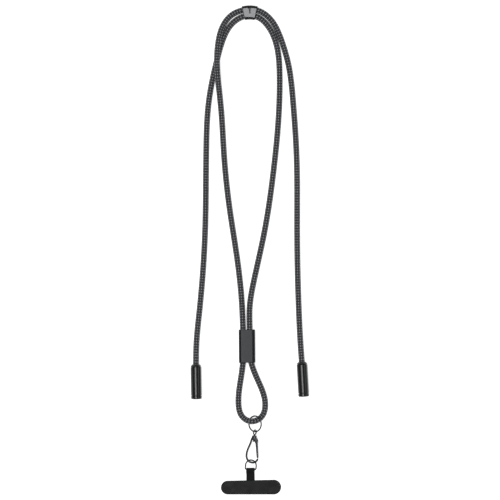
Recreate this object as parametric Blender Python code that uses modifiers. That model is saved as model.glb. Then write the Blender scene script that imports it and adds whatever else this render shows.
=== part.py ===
"""Charging cable lanyard, laid flat and face up.

One braided cable is the neck loop. It runs from the left plug up round the neck, down through the
slider, round its bottom loop, back up through the slider, round the neck again and down to the right
plug. Units are metres. +X is the wearer's left, +Y is towards the nape, +Z is up from the surface.
"""

import math

import bmesh
import bpy
import numpy as np
from mathutils import Matrix, Vector

MM = 0.001

# Fits
GAP = 0.3 * MM
SLIDING_GAP = 0.45 * MM

# Cable
CABLE_D = 5.9 * MM
CABLE_POINTS = 84
CABLE_TURN_WEIGHT = 0.055

# Neck clip: a slice of a ring round the nape's arc
CLIP_ARC_CENTRE = (0.0, 211.0 * MM)
CLIP_OUTER_STRAND_R = 29.4 * MM
CLIP_INNER_STRAND_R = 23.13 * MM
CLIP_HALF_ANGLE = math.radians(14.2)
CLIP_WALL = 0.75 * MM
CLIP_FLOOR = 0.85 * MM
CLIP_EDGE_R = 2.6 * MM
CLIP_SLOT_LENGTH = 4.2 * MM
CLIP_SLOT_WIDTH = 1.3 * MM
CLIP_SLOT_DEPTH = 0.6 * MM
CLIP_NOTCH_LENGTH = 3.4 * MM
CLIP_NOTCH_WIDTH = 2.6 * MM
CLIP_NOTCH_DEPTH = 0.35 * MM

# Slider sleeve
SLIDER_CENTRE = (-2.8 * MM, -95.9 * MM)
SLIDER_TILT = math.radians(0.5)
SLIDER_WIDTH = 16.4 * MM
SLIDER_LENGTH = 33.0 * MM
SLIDER_WALL = 0.8 * MM
SLIDER_CORNER_R = 3.1 * MM

# Plugs and the covers pushed over them
LEFT_PLUG_TOP = (-53.83 * MM, -114.2 * MM)
LEFT_PLUG_TILT = math.radians(0.96)
RIGHT_PLUG_TOP = (51.95 * MM, -111.8 * MM)
RIGHT_PLUG_TILT = math.radians(3.2)
COVER_D = 10.8 * MM
COVER_WALL = 0.9 * MM
COVER_LENGTH = 32.1 * MM
COVER_END_WALL = 4.3 * MM
COVER_EDGE = 0.8 * MM
COVER_GROOVE_FROM_END = 3.3 * MM
COVER_GROOVE_WIDTH = 0.7 * MM
COVER_GROOVE_DEPTH = 0.35 * MM
COLLAR_TOP_D = 8.0 * MM
COLLAR_HEIGHT = 2.1 * MM
COLLAR_RIM = 0.4 * MM
SOCKET_DEPTH = 1.8 * MM
GRIP_LENGTH = 17.5 * MM
TIP_WIDTH = 8.3 * MM
TIP_THICKNESS = 2.5 * MM
TIP_LENGTH = 6.5 * MM
TURNED_STEPS = 24

# Ring on the bottom loop: its left side lies on the surface under the cable
RING_CENTRE_XY = (5.2 * MM, -173.4 * MM)
RING_OUTER_D = 17.0 * MM
RING_WIRE_D = 1.4 * MM
RING_TILT = math.radians(38.0)

# Swivel eye
EYE_CENTRE_XY = (5.0 * MM, -181.8 * MM)
EYE_R = 2.3 * MM
EYE_WIRE_D = 1.2 * MM
SHANK_D = 1.6 * MM
HEAD_D = 2.3 * MM
HEAD_HEIGHT = 1.0 * MM

# Snap hook, in its own frame: y falls from the eye's centre along the hook, x is across
HOOK_LOW_END = (2.1 * MM, -211.9 * MM, 2.7 * MM)
HOOK_ROLL = math.radians(-12.0)
HOOK_WIRE_D = 1.9 * MM
HOOK_WIRE = (
    (-2.5, -7.4),
    (-2.9, -9.6),
    (-3.7, -12.6),
    (-5.4, -17.8),
    (-6.2, -22.0),
    (-6.15, -25.0),
    (-5.1, -27.9),
    (-3.1, -29.9),
    (-0.6, -30.7),
    (2.0, -30.4),
    (4.0, -29.1),
    (5.2, -27.4),
    (5.5, -26.0),
)
BLOCK_TOP = 3.4 * MM
BLOCK_BOTTOM = 8.4 * MM
BLOCK_TOP_WIDTH = 4.4 * MM
BLOCK_BOTTOM_WIDTH = 6.6 * MM
BLOCK_THICKNESS = 4.6 * MM
BORE_D = SHANK_D + 2 * GAP
GATE_PIVOT = (2.75 * MM, -9.5 * MM)
GATE_TIP = (5.5 * MM, -25.6 * MM)
GATE_PIN_D = 0.9 * MM
GATE_KNUCKLE_D = 2.4 * MM
GATE_WIDTH = 2.1 * MM
GATE_TIP_WIDTH = 1.8 * MM
GATE_THICKNESS = 2.1 * MM

# D-ring: bar, upright sides and a half round, in its own frame with the bar's middle at the origin
D_BAR_CENTRE = (0.75 * MM, -218.9 * MM, 3.05 * MM)
D_TILT = math.radians(16.0)
D_TURN = math.radians(-4.0)
D_WIRE_D = 1.3 * MM
D_HALF_WIDTH = 5.6 * MM
D_SIDE = 3.6 * MM
D_CORNER_R = 1.0 * MM

# Tether pad and the strap sewn under it
PAD_LEFT_CENTRE = (-22.1 * MM, -237.4 * MM)
PAD_LEFT_R = 6.8 * MM
PAD_RIGHT_CENTRE = (23.9 * MM, -236.9 * MM)
PAD_RIGHT_R = 7.3 * MM
PAD_THICKNESS = 2.2 * MM
PAD_EDGE = 0.45 * MM
STRAP_WIDTH = 8.4 * MM
STRAP_LAYER = 0.6 * MM
STRAP_CENTRE_X = 0.7 * MM
STRAP_TAIL_IN_PAD = 6.0 * MM
STRAP_MERGE = 6.0 * MM

# The cable's route in millimetres, from the left plug to the right plug
ROUTE_MM = (
    (-53.8, -115.7, 5.4),
    (-53.4, -93.9, 4.3),
    (-50.5, -61.9, 2.95),
    (-44.7, 20.1, 2.95),
    (-43.4, 110.1, 2.95),
    (-41.8, 141.6, 2.95),
    (-38.4, 165.1, 2.95),
    (-32.8, 190.1, 2.95),
    (-27.0, 210.1, 2.95),
    (-18.8, 225.0, 2.95),
    (-6.5, 233.2, 4.1),
    (6.5, 233.2, 4.1),
    (17.7, 224.3, 2.95),
    (26.8, 204.1, 2.95),
    (29.7, 175.1, 2.95),
    (28.7, 133.1, 2.95),
    (23.5, 78.1, 2.95),
    (14.5, 18.1, 2.95),
    (4.2, -29.9, 2.95),
    (-0.2, -57.9, 2.95),
    (-0.2, -79.9, 4.2),
    (1.1, -110.9, 4.2),
    (9.1, -132.4, 2.95),
    (15.3, -152.9, 2.95),
    (11.7, -166.5, 3.4),
    (2.2, -170.95, 5.3),
    (-7.4, -166.5, 3.2),
    (-11.4, -152.4, 2.95),
    (-9.4, -130.9, 2.95),
    (-6.8, -110.9, 4.2),
    (-6.8, -79.9, 4.2),
    (-8.1, -51.9, 2.95),
    (-12.5, -9.9, 2.95),
    (-20.3, 42.1, 2.95),
    (-25.8, 95.1, 2.95),
    (-28.8, 141.6, 2.95),
    (-30.7, 160.1, 5.0),
    (-32.2, 175.1, 8.8),
    (-32.8, 190.1, 9.5),
    (-31.6, 206.6, 8.9),
    (-26.3, 224.8, 5.6),
    (-18.3, 234.6, 4.3),
    (-7.6, 239.4, 4.1),
    (7.6, 239.4, 4.1),
    (20.0, 231.3, 3.4),
    (31.2, 210.6, 2.95),
    (38.6, 185.1, 2.95),
    (43.2, 148.1, 2.95),
    (46.8, 90.1, 2.95),
    (47.2, 20.1, 2.95),
    (48.8, -56.9, 2.95),
    (50.6, -93.9, 4.3),
    (52.0, -113.3, 5.4),
)

NAME = "charging_cable_lanyard"
parts = None
cutters = None


def clear_scene():
    for thing in list(bpy.data.objects):
        bpy.data.objects.remove(thing, do_unlink=True)


def make_collections():
    global parts, cutters
    parts = bpy.data.collections.new(NAME)
    cutters = bpy.data.collections.new(NAME + "_cutters")
    for collection in (parts, cutters):
        bpy.context.scene.collection.children.link(collection)


def finish(name, colour, roughness, metallic):
    """A plain material: colour as linear RGB, roughness and metallic as they are."""
    material = bpy.data.materials.new(name)
    material.use_nodes = True
    shader = material.node_tree.nodes["Principled BSDF"]
    shader.inputs["Base Color"].default_value = (*colour, 1.0)
    shader.inputs["Roughness"].default_value = roughness
    shader.inputs["Metallic"].default_value = metallic
    return material


def place(name, data, material=None, frame=None):
    """A part, or with no material a cutter, in the frame of an empty."""
    thing = bpy.data.objects.new(name, data)
    if material:
        parts.objects.link(thing)
        data.materials.append(material)
    else:
        cutters.objects.link(thing)
        thing.hide_render = True
        thing.display_type = "WIRE"
    thing.parent = frame
    return thing


def frame_at(name, matrix):
    empty = bpy.data.objects.new(name, None)
    empty.empty_display_size = 5 * MM
    empty.matrix_world = matrix
    parts.objects.link(empty)
    return empty


def combine(thing, other, operation):
    modifier = thing.modifiers.new(other.name, "BOOLEAN")
    modifier.operation = operation
    modifier.solver = "EXACT"
    modifier.object = other


def tube_curve(name, points, diameter, resolution, cyclic=False):
    """A round bar along the points, with 4 + 2 * resolution sides."""
    curve = bpy.data.curves.new(name, "CURVE")
    curve.dimensions = "3D"
    curve.bevel_depth = diameter / 2
    curve.bevel_resolution = resolution
    curve.use_fill_caps = not cyclic
    spline = curve.splines.new("POLY")
    spline.points.add(len(points) - 1)
    for point, place_m in zip(spline.points, points):
        point.co = (*place_m, 1.0)
    spline.use_cyclic_u = cyclic
    return curve


def plate_curve(name, outlines, thickness):
    """A flat plate of the given outlines, each later one a hole, centred on its own plane."""
    curve = bpy.data.curves.new(name, "CURVE")
    curve.dimensions = "2D"
    curve.fill_mode = "BOTH"
    curve.extrude = thickness / 2
    for outline in outlines:
        spline = curve.splines.new("POLY")
        spline.points.add(len(outline) - 1)
        for point, (x, y) in zip(spline.points, outline):
            point.co = (x, y, 0.0, 1.0)
        spline.use_cyclic_u = True
    return curve


def mesh_of(curve):
    """The curve's surface as a mesh whose caps are welded to its sides."""
    carrier = bpy.data.objects.new(curve.name, curve)
    cutters.objects.link(carrier)
    bpy.context.view_layer.update()
    evaluated = carrier.evaluated_get(bpy.context.evaluated_depsgraph_get())
    mesh = bpy.data.meshes.new_from_object(evaluated)
    bpy.data.objects.remove(carrier, do_unlink=True)
    return welded(mesh)


def welded(mesh):
    body = bmesh.new()
    body.from_mesh(mesh)
    bmesh.ops.remove_doubles(body, verts=body.verts, dist=0.001 * MM)
    bmesh.ops.recalc_face_normals(body, faces=body.faces)
    body.to_mesh(mesh)
    body.free()
    return mesh


def box_mesh(name, low, high):
    body = bmesh.new()
    bmesh.ops.create_cube(body, size=1.0)
    low, high = Vector(low), Vector(high)
    size = high - low
    bmesh.ops.scale(body, vec=size, verts=body.verts)
    bmesh.ops.translate(body, vec=(low + high) / 2, verts=body.verts)
    mesh = bpy.data.meshes.new(name)
    body.to_mesh(mesh)
    body.free()
    return mesh


def bar_mesh(name, diameter, start, end, sides):
    """A round bar with flat ends between two points."""
    start, end = Vector(start), Vector(end)
    along = end - start
    turn = along.to_track_quat("Z", "Y").to_matrix().to_4x4()
    body = bmesh.new()
    bmesh.ops.create_cone(
        body,
        cap_ends=True,
        segments=sides,
        radius1=diameter / 2,
        radius2=diameter / 2,
        depth=along.length,
        matrix=Matrix.Translation((start + end) / 2) @ turn,
    )
    mesh = bpy.data.meshes.new(name)
    body.to_mesh(mesh)
    body.free()
    return mesh


def turned_part(name, profile, material, frame):
    """A solid turned about Z from a profile that runs from the top to the bottom of its outer side."""
    mesh = bpy.data.meshes.new(name)
    edges = [(i, i + 1) for i in range(len(profile) - 1)]
    mesh.from_pydata([(r, 0.0, z) for r, z in profile], edges, [])
    thing = place(name, mesh, material, frame)
    screw = thing.modifiers.new("turn", "SCREW")
    screw.axis = "Z"
    screw.steps = TURNED_STEPS
    screw.render_steps = TURNED_STEPS
    screw.use_merge_vertices = True
    screw.merge_threshold = 0.001 * MM
    screw.use_smooth_shade = False
    return thing


def soften(thing, width, segments, angle_deg):
    """Rounded edges wherever two faces meet at more than the angle."""
    bevel = thing.modifiers.new("edges", "BEVEL")
    bevel.width = width
    bevel.segments = segments
    bevel.limit_method = "ANGLE"
    bevel.angle_limit = math.radians(angle_deg)


def shade_round(thing):
    if thing.type == "MESH":
        thing.data.shade_smooth()
        thing.data.set_sharp_from_angle(angle=math.radians(40))


def arc(centre, radius, start_deg, end_deg, steps):
    angles = np.radians(np.linspace(start_deg, end_deg, steps + 1))
    return [(centre[0] + radius * math.cos(a), centre[1] + radius * math.sin(a)) for a in angles]


def rounded_box(width, height, radius, steps):
    """Outline of a box with round corners, anticlockwise about the origin."""
    x, y = width / 2 - radius, height / 2 - radius
    corners = (((x, y), 0), ((-x, y), 90), ((-x, -y), 180), ((x, -y), 270))
    outline = []
    for centre, start in corners:
        outline += arc(centre, radius, start, start + 90, steps)
    return outline


def smooth_slopes(values, at):
    """Slopes of the cubic spline through the values whose curvature is continuous and zero at both ends."""
    step = np.diff(at)
    rise = np.diff(values) / step
    count = len(values)
    system = np.zeros((count, count))
    right = np.zeros(count)
    system[0, :2] = 2, 1
    right[0] = 3 * rise[0]
    system[-1, -2:] = 1, 2
    right[-1] = 3 * rise[-1]
    for i in range(1, count - 1):
        before, after = 1 / step[i - 1], 1 / step[i]
        system[i, i - 1 : i + 2] = before, 2 * (before + after), after
        right[i] = 3 * (rise[i - 1] * before + rise[i] * after)
    return np.linalg.solve(system, right)


def level_slopes(values, at):
    """Slopes that keep a curve between its neighbouring values, so that a level stretch stays level."""
    rise = np.diff(values) / np.diff(at)
    slopes = np.zeros(len(values))
    same_way = rise[:-1] * rise[1:] > 0
    before, after = rise[:-1][same_way], rise[1:][same_way]
    slopes[1:-1][same_way] = 2 * before * after / (before + after)
    return slopes


def along_route(at, values, slopes, where):
    """Cubic Hermite curve through the values with those slopes."""
    i = np.clip(np.searchsorted(at, where, side="right") - 1, 0, len(at) - 2)
    step = at[i + 1] - at[i]
    u = (where - at[i]) / step
    return (
        (1 + 2 * u) * (1 - u) ** 2 * values[i]
        + u * (1 - u) ** 2 * step * slopes[i]
        + u**2 * (3 - 2 * u) * values[i + 1]
        + u**2 * (u - 1) * step * slopes[i + 1]
    )


def cable_centreline():
    """Points on the smooth curve through the route, closer together where it bends more."""
    route = np.array(ROUTE_MM) * MM
    at = np.concatenate([[0.0], np.cumsum(np.linalg.norm(np.diff(route, axis=0), axis=1))])
    slopes = [smooth_slopes(route[:, 0], at), smooth_slopes(route[:, 1], at), level_slopes(route[:, 2], at)]
    fine = np.linspace(0.0, at[-1], 4000)
    curve = np.stack([along_route(at, route[:, k], slopes[k], fine) for k in range(3)], axis=1)
    steps = np.diff(curve, axis=0)
    lengths = np.linalg.norm(steps, axis=1)
    directions = steps / lengths[:, None]
    turns = np.concatenate([[0.0], np.linalg.norm(np.diff(directions, axis=0), axis=1)])
    measure = np.concatenate([[0.0], np.cumsum(lengths + CABLE_TURN_WEIGHT * turns)])
    wanted = np.linspace(0.0, measure[-1], CABLE_POINTS)
    chosen = np.interp(wanted, measure, fine)
    points = np.stack([along_route(at, route[:, k], slopes[k], chosen) for k in range(3)], axis=1)
    return [tuple(float(v) for v in point) for point in points]


def build_cable(points):
    material = finish("charcoal_braid", (0.075, 0.075, 0.08), 0.8, 0.0)
    place("braided_cable", tube_curve("braided_cable", points, CABLE_D, 3), material)


def build_clip(points):
    """A slice of a ring, swept round the nape's arc, with a bore for each strand."""
    material = finish("clip_gloss_black", (0.05, 0.05, 0.05), 0.25, 0.0)
    side_wall = CABLE_D / 2 + GAP + CLIP_WALL
    inner = CLIP_INNER_STRAND_R - side_wall
    outer = CLIP_OUTER_STRAND_R + side_wall
    height = CABLE_D + 2 * (GAP + CLIP_FLOOR)
    section = rounded_box(outer - inner, height, CLIP_EDGE_R, 4)
    centre = Vector((*CLIP_ARC_CENTRE, height / 2))
    body = bmesh.new()
    corners = [body.verts.new(((inner + outer) / 2 + x, 0.0, z)) for x, z in section]
    body.faces.new(corners)
    start = Matrix.Rotation(math.pi / 2 - CLIP_HALF_ANGLE, 3, "Z")
    bmesh.ops.rotate(body, cent=(0, 0, 0), matrix=start, verts=body.verts)
    bmesh.ops.translate(body, vec=centre, verts=body.verts)
    bmesh.ops.spin(
        body,
        geom=body.verts[:] + body.edges[:] + body.faces[:],
        cent=centre,
        axis=(0, 0, 1),
        angle=2 * CLIP_HALF_ANGLE,
        steps=6,
    )
    bmesh.ops.recalc_face_normals(body, faces=body.faces)
    mesh = bpy.data.meshes.new("neck_clip")
    body.to_mesh(mesh)
    body.free()
    clip = place("neck_clip", mesh, material)
    soften(clip, 0.5 * MM, 2, 50)
    reach = CLIP_HALF_ANGLE + math.radians(14)
    for radius, side in ((CLIP_INNER_STRAND_R, "inner"), (CLIP_OUTER_STRAND_R, "outer")):
        strand = strand_near_clip(points, radius, reach)
        bore = bore_round(f"clip_bore_{side}", strand)
        combine(clip, bore, "DIFFERENCE")
    slot_middle = centre.y + (CLIP_OUTER_STRAND_R + CLIP_INNER_STRAND_R) / 2 + 0.9 * MM
    slot = box_mesh(
        "clip_slot",
        (-CLIP_SLOT_WIDTH / 2, slot_middle - CLIP_SLOT_LENGTH / 2, height - CLIP_SLOT_DEPTH),
        (CLIP_SLOT_WIDTH / 2, slot_middle + CLIP_SLOT_LENGTH / 2, height + GAP),
    )
    back = centre.y + outer
    notch = box_mesh(
        "clip_notch",
        (-CLIP_NOTCH_WIDTH / 2, back - CLIP_NOTCH_LENGTH, height - CLIP_NOTCH_DEPTH),
        (CLIP_NOTCH_WIDTH / 2, back + GAP, height + GAP),
    )
    for cutter in (slot, notch):
        combine(clip, place(cutter.name, cutter), "DIFFERENCE")


def strand_near_clip(points, radius, reach):
    """The cable's own points that pass the clip at that radius, with one more at each end."""
    near = []
    for i, (x, y, _) in enumerate(points):
        dx, dy = x - CLIP_ARC_CENTRE[0], y - CLIP_ARC_CENTRE[1]
        off_axis = abs(math.atan2(dx, dy))
        if off_axis < reach and abs(math.hypot(dx, dy) - radius) < CABLE_D / 3:
            near.append(i)
    return points[near[0] - 1 : near[-1] + 2]


def bore_round(name, strand):
    """A cutter whose flats clear the cable by the gap."""
    resolution = 5
    sides = 4 + 2 * resolution
    diameter = (CABLE_D + 2 * GAP) / math.cos(math.pi / sides)
    return place(name, mesh_of(tube_curve(name, strand, diameter, resolution)))


def build_slider():
    """A flattened tube that lies on its broad side."""
    material = finish("gunmetal_satin", (0.12, 0.12, 0.125), 0.4, 0.9)
    height = CABLE_D + 2 * (SLIDING_GAP + SLIDER_WALL)
    outer = rounded_box(SLIDER_WIDTH, height, SLIDER_CORNER_R, 5)
    bore_width, bore_height = SLIDER_WIDTH - 2 * SLIDER_WALL, height - 2 * SLIDER_WALL
    inner = rounded_box(bore_width, bore_height, SLIDER_CORNER_R - SLIDER_WALL, 5)
    place_at = Matrix.Translation((*SLIDER_CENTRE, height / 2))
    turn = Matrix.Rotation(SLIDER_TILT, 4, "Z") @ Matrix.Rotation(math.pi / 2, 4, "X")
    frame = frame_at("slider_frame", place_at @ turn)
    sleeve = place("slider_sleeve", mesh_of(plate_curve("slider_sleeve", [outer, inner], SLIDER_LENGTH)), material, frame)
    soften(sleeve, 0.25 * MM, 1, 60)


def plug_frame(name, top, tilt):
    """Origin at the middle of the plug's cable end, +Z back along the cable."""
    turn = Matrix.Rotation(tilt, 4, "Z") @ Matrix.Rotation(-math.pi / 2, 4, "X")
    return frame_at(name, Matrix.Translation((*top, COVER_D / 2)) @ turn)


def build_plug(side, frame):
    """Collar with the cable's socket, grip inside the cover, and the connector's tip."""
    material = finish(f"{side}_plug_black", (0.02, 0.02, 0.02), 0.4, 0.0)
    socket_r = CABLE_D / 2 + GAP
    collar_r = COVER_D / 2 - 0.15 * MM
    grip_r = COVER_D / 2 - COVER_WALL - GAP
    grip_end = -COLLAR_HEIGHT - GRIP_LENGTH
    profile = [
        (0.0, -SOCKET_DEPTH),
        (socket_r, -SOCKET_DEPTH),
        (socket_r, 0.0),
        (COLLAR_TOP_D / 2, 0.0),
        (collar_r, -COLLAR_HEIGHT + COLLAR_RIM),
        (collar_r, -COLLAR_HEIGHT),
        (grip_r, -COLLAR_HEIGHT),
        (grip_r, grip_end + 0.5 * MM),
        (grip_r - 0.5 * MM, grip_end),
        (0.0, grip_end),
    ]
    plug = turned_part(f"{side}_plug", profile, material, frame)
    overlap = 1.0 * MM
    outline = rounded_box(TIP_WIDTH, TIP_THICKNESS, TIP_THICKNESS * 0.48, 4)
    tip = mesh_of(plate_curve(f"{side}_tip", [outline], TIP_LENGTH + overlap))
    middle = grip_end + overlap - (TIP_LENGTH + overlap) / 2
    tip.transform(Matrix.Translation((0.0, 0.0, middle)))
    combine(plug, place(f"{side}_tip", tip, frame=frame), "UNION")


def build_cover(side, frame):
    """A turned cup, open at the cable end, with a groove near its closed end."""
    material = finish(f"{side}_cover_gloss_black", (0.012, 0.012, 0.013), 0.12, 0.0)
    outer_r = COVER_D / 2
    bore_r = outer_r - COVER_WALL
    mouth = -COLLAR_HEIGHT - GAP
    end = mouth - COVER_LENGTH
    groove = end + COVER_GROOVE_FROM_END
    half = COVER_GROOVE_WIDTH / 2
    profile = [
        (0.0, end + COVER_END_WALL),
        (bore_r, end + COVER_END_WALL),
        (bore_r, mouth),
        (outer_r - 0.25 * MM, mouth),
        (outer_r, mouth - 0.25 * MM),
        (outer_r, groove + half),
        (outer_r - COVER_GROOVE_DEPTH, groove + half * 0.6),
        (outer_r - COVER_GROOVE_DEPTH, groove - half * 0.6),
        (outer_r, groove - half),
        (outer_r, end + COVER_EDGE),
        (outer_r - COVER_EDGE * 0.3, end + COVER_EDGE * 0.3),
        (outer_r - COVER_EDGE, end),
        (0.0, end),
    ]
    turned_part(f"{side}_cover", profile, material, frame)


def ring_height():
    """The ring's middle when its low side touches the surface."""
    radius = (RING_OUTER_D - RING_WIRE_D) / 2
    return radius * math.sin(RING_TILT) + RING_WIRE_D / 2


def ring_matrix():
    return Matrix.Translation((*RING_CENTRE_XY, ring_height())) @ Matrix.Rotation(-RING_TILT, 4, "Y")


def circle_points(radius, count):
    angles = np.linspace(0.0, 2 * math.pi, count, endpoint=False)
    return [(radius * math.cos(a), radius * math.sin(a), 0.0) for a in angles]


def build_ring():
    material = finish("ring_gunmetal", (0.3, 0.3, 0.31), 0.25, 1.0)
    points = circle_points((RING_OUTER_D - RING_WIRE_D) / 2, 32)
    curve = tube_curve("loop_ring", points, RING_WIRE_D, 1, cyclic=True)
    place("loop_ring", mesh_of(curve), material, frame_at("ring_frame", ring_matrix()))


def axis_frame(origin, up_axis, face):
    """A matrix at the origin whose Y runs along up_axis and whose Z leans as near to face as it can."""
    y = Vector(up_axis).normalized()
    z = (Vector(face) - Vector(face).dot(y) * y).normalized()
    turn = Matrix((y.cross(z), y, z)).transposed().to_4x4()
    return Matrix.Translation(origin) @ turn


def hook_axis():
    """(eye centre, direction from the hook's low end up to the eye)."""
    eye = Vector((*EYE_CENTRE_XY, ring_height()))
    return eye, (eye - Vector(HOOK_LOW_END)).normalized()


def build_eye():
    """A wire loop round the ring, on a shank that turns in the hook's block and ends in a rivet head."""
    material = finish("eye_gunmetal", (0.2, 0.2, 0.21), 0.3, 1.0)
    origin, up = hook_axis()
    ring_direction = ring_matrix().to_3x3() @ Vector((1.0, 0.0, 0.0))
    frame = frame_at("eye_frame", axis_frame(origin, up, ring_direction))
    loop = mesh_of(tube_curve("swivel_eye", circle_points(EYE_R, 20), EYE_WIRE_D, 1, cyclic=True))
    eye = place("swivel_eye", loop, material, frame)
    head_top = BLOCK_BOTTOM + GAP
    shank = bar_mesh("eye_shank", SHANK_D, (0, -EYE_R, 0), (0, -head_top - HEAD_HEIGHT / 2, 0), 12)
    head = bar_mesh("eye_head", HEAD_D, (0, -head_top, 0), (0, -head_top - HEAD_HEIGHT, 0), 12)
    for piece in (shank, head):
        combine(eye, place(piece.name, piece, frame=frame), "UNION")


def block_outline():
    """The swivel block seen from its face: a wedge with a round lobe about the gate's pivot."""
    lobe_r = GATE_KNUCKLE_D / 2 + 0.15 * MM
    lobe = arc(GATE_PIVOT, lobe_r, -150, 40, 8)
    top, bottom = BLOCK_TOP_WIDTH / 2, BLOCK_BOTTOM_WIDTH / 2
    return [
        (top, -BLOCK_TOP),
        (-top, -BLOCK_TOP),
        (-bottom, -BLOCK_BOTTOM + 1.2 * MM),
        (-bottom, -BLOCK_BOTTOM),
        (GATE_PIVOT[0] - lobe_r, -BLOCK_BOTTOM),
        *lobe,
    ]


def build_hook(frame):
    """Wedge-shaped block, wire round to the nose, ears and pin for the gate, bore for the shank."""
    material = finish("hook_gunmetal", (0.16, 0.16, 0.165), 0.3, 1.0)
    block = mesh_of(plate_curve("hook_body", [block_outline()], BLOCK_THICKNESS))
    body = place("hook_body", block, material, frame)
    soften(body, 0.4 * MM, 1, 30)
    path = [(x * MM, y * MM, 0.0) for x, y in HOOK_WIRE]
    wire = place("hook_wire", mesh_of(tube_curve("hook_wire", path, HOOK_WIRE_D, 2)), frame=frame)
    half_slot = GATE_THICKNESS / 2 + GAP
    reach = GATE_KNUCKLE_D / 2 + GAP
    x, y = GATE_PIVOT
    slot = box_mesh(
        "gate_slot",
        (x - reach, y - 3 * reach, -half_slot),
        (x + 3 * reach, y + reach, half_slot),
    )
    bore = bar_mesh("shank_bore", BORE_D, (0, -BLOCK_TOP + MM, 0), (0, -BLOCK_BOTTOM - MM, 0), 16)
    pin_reach = BLOCK_THICKNESS / 2 - 0.2 * MM
    pin = bar_mesh("gate_pin", GATE_PIN_D, (x, y, -pin_reach), (x, y, pin_reach), 10)
    combine(body, wire, "UNION")
    combine(body, place("gate_slot", slot, frame=frame), "DIFFERENCE")
    combine(body, place("shank_bore", bore, frame=frame), "DIFFERENCE")
    combine(body, place("gate_pin", pin, frame=frame), "UNION")


def build_gate(frame):
    """A flat lever from the pin down to the nose; its origin is on the pin."""
    material = finish("gate_gunmetal", (0.24, 0.24, 0.245), 0.3, 1.0)
    pivot = frame_at("gate_frame", Matrix.Translation((*GATE_PIVOT, 0.0)))
    pivot.parent = frame
    reach = Vector((GATE_TIP[0] - GATE_PIVOT[0], GATE_TIP[1] - GATE_PIVOT[1]))
    length = reach.length
    along = math.atan2(reach.y, reach.x)
    knuckle_r = GATE_KNUCKLE_D / 2
    bow = 0.25 * MM
    straight = [
        (length * 0.5, GATE_WIDTH / 2 + bow),
        (length - 0.3 * MM, GATE_TIP_WIDTH / 2),
        (length, GATE_TIP_WIDTH / 2 - 0.3 * MM),
        (length, -GATE_TIP_WIDTH / 2 + 0.3 * MM),
        (length - 0.3 * MM, -GATE_TIP_WIDTH / 2),
        (length * 0.5, -GATE_WIDTH / 2 + bow),
    ]
    outline = arc((0.0, 0.0), knuckle_r, 300, 60, 8) + straight
    outline = [(x * math.cos(along) - y * math.sin(along), x * math.sin(along) + y * math.cos(along)) for x, y in outline]
    hole = arc((0.0, 0.0), GATE_PIN_D / 2 + GAP, 0, 330, 11)
    mesh = mesh_of(plate_curve("hook_gate", [outline, hole], GATE_THICKNESS))
    gate = place("hook_gate", mesh, material, pivot)
    soften(gate, 0.25 * MM, 1, 50)


def d_outline():
    """The wire's centreline: bar along x, round corners, upright sides, half round top."""
    x, r = D_HALF_WIDTH, D_CORNER_R
    right = arc((x - r, r), r, -90, 0, 3)
    top = arc((0.0, D_SIDE), x, 0, 180, 12)
    left = arc((-x + r, r), r, 180, 270, 3)
    return [(px, py, 0.0) for px, py in right + top + left]


def build_d_ring():
    material = finish("d_ring_gunmetal", (0.2, 0.2, 0.21), 0.3, 1.0)
    turn = Matrix.Rotation(D_TILT, 4, "Y") @ Matrix.Rotation(D_TURN, 4, "Z")
    frame = frame_at("d_ring_frame", Matrix.Translation(D_BAR_CENTRE) @ turn)
    curve = tube_curve("d_ring", d_outline(), D_WIRE_D, 1, cyclic=True)
    place("d_ring", mesh_of(curve), material, frame)


def strap_outlines(tail_end):
    """Side view of the strap about the D-ring's bar: a loop, two legs that meet, and the tail.

    x is the way up from the bar towards the hook, y is height.
    """
    hole_r = D_WIRE_D / 2 + 0.25 * MM
    loop_r = hole_r + STRAP_LAYER
    low = -D_BAR_CENTRE[2] + 0.05 * MM
    high = low + 2 * STRAP_LAYER
    middle = (low + high) / 2
    outer = arc((0.0, 0.0), loop_r, -115, 95, 12)
    outer += [(-STRAP_MERGE, high), (tail_end, high), (tail_end, low), (-STRAP_MERGE, low)]
    hole = arc((0.0, 0.0), hole_r, -115, 95, 10)
    hole += [(-STRAP_MERGE * 0.62, middle * 0.62 + 0.1 * MM)]
    return [outer, hole]


def build_strap():
    """The strap twists from the bar's lean to flat where it meets the pad."""
    material = finish("black_webbing", (0.018, 0.018, 0.018), 0.85, 0.0)
    tail_end = PAD_LEFT_CENTRE[1] + PAD_LEFT_R - STRAP_TAIL_IN_PAD - D_BAR_CENTRE[1]
    mesh = mesh_of(plate_curve("tab_strap", strap_outlines(tail_end), STRAP_WIDTH))
    body = bmesh.new()
    body.from_mesh(mesh)
    for vert in body.verts:
        up, height, across = vert.co
        share = min(max((up + STRAP_MERGE) / STRAP_MERGE, 0.0), 1.0)
        lean = D_TILT * share * share * (3 - 2 * share)
        x = across * math.cos(lean) + height * math.sin(lean)
        z = -across * math.sin(lean) + height * math.cos(lean)
        vert.co = (x, up, z)
    bmesh.ops.recalc_face_normals(body, faces=body.faces)
    body.to_mesh(mesh)
    body.free()
    at = (STRAP_CENTRE_X, D_BAR_CENTRE[1], D_BAR_CENTRE[2])
    place("tab_strap", mesh, material, frame_at("strap_frame", Matrix.Translation(at)))


def pad_outline():
    """Two round ends of slightly different size joined by straight edges."""
    left, right = Vector(PAD_LEFT_CENTRE), Vector(PAD_RIGHT_CENTRE)
    line = math.degrees(math.atan2(right.y - left.y, right.x - left.x))
    flare = math.degrees(math.asin((PAD_RIGHT_R - PAD_LEFT_R) / (right - left).length))
    top, bottom = line + 90 + flare, line - 90 - flare
    return arc(right, PAD_RIGHT_R, bottom, top, 16) + arc(left, PAD_LEFT_R, top, bottom + 360, 16)


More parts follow.
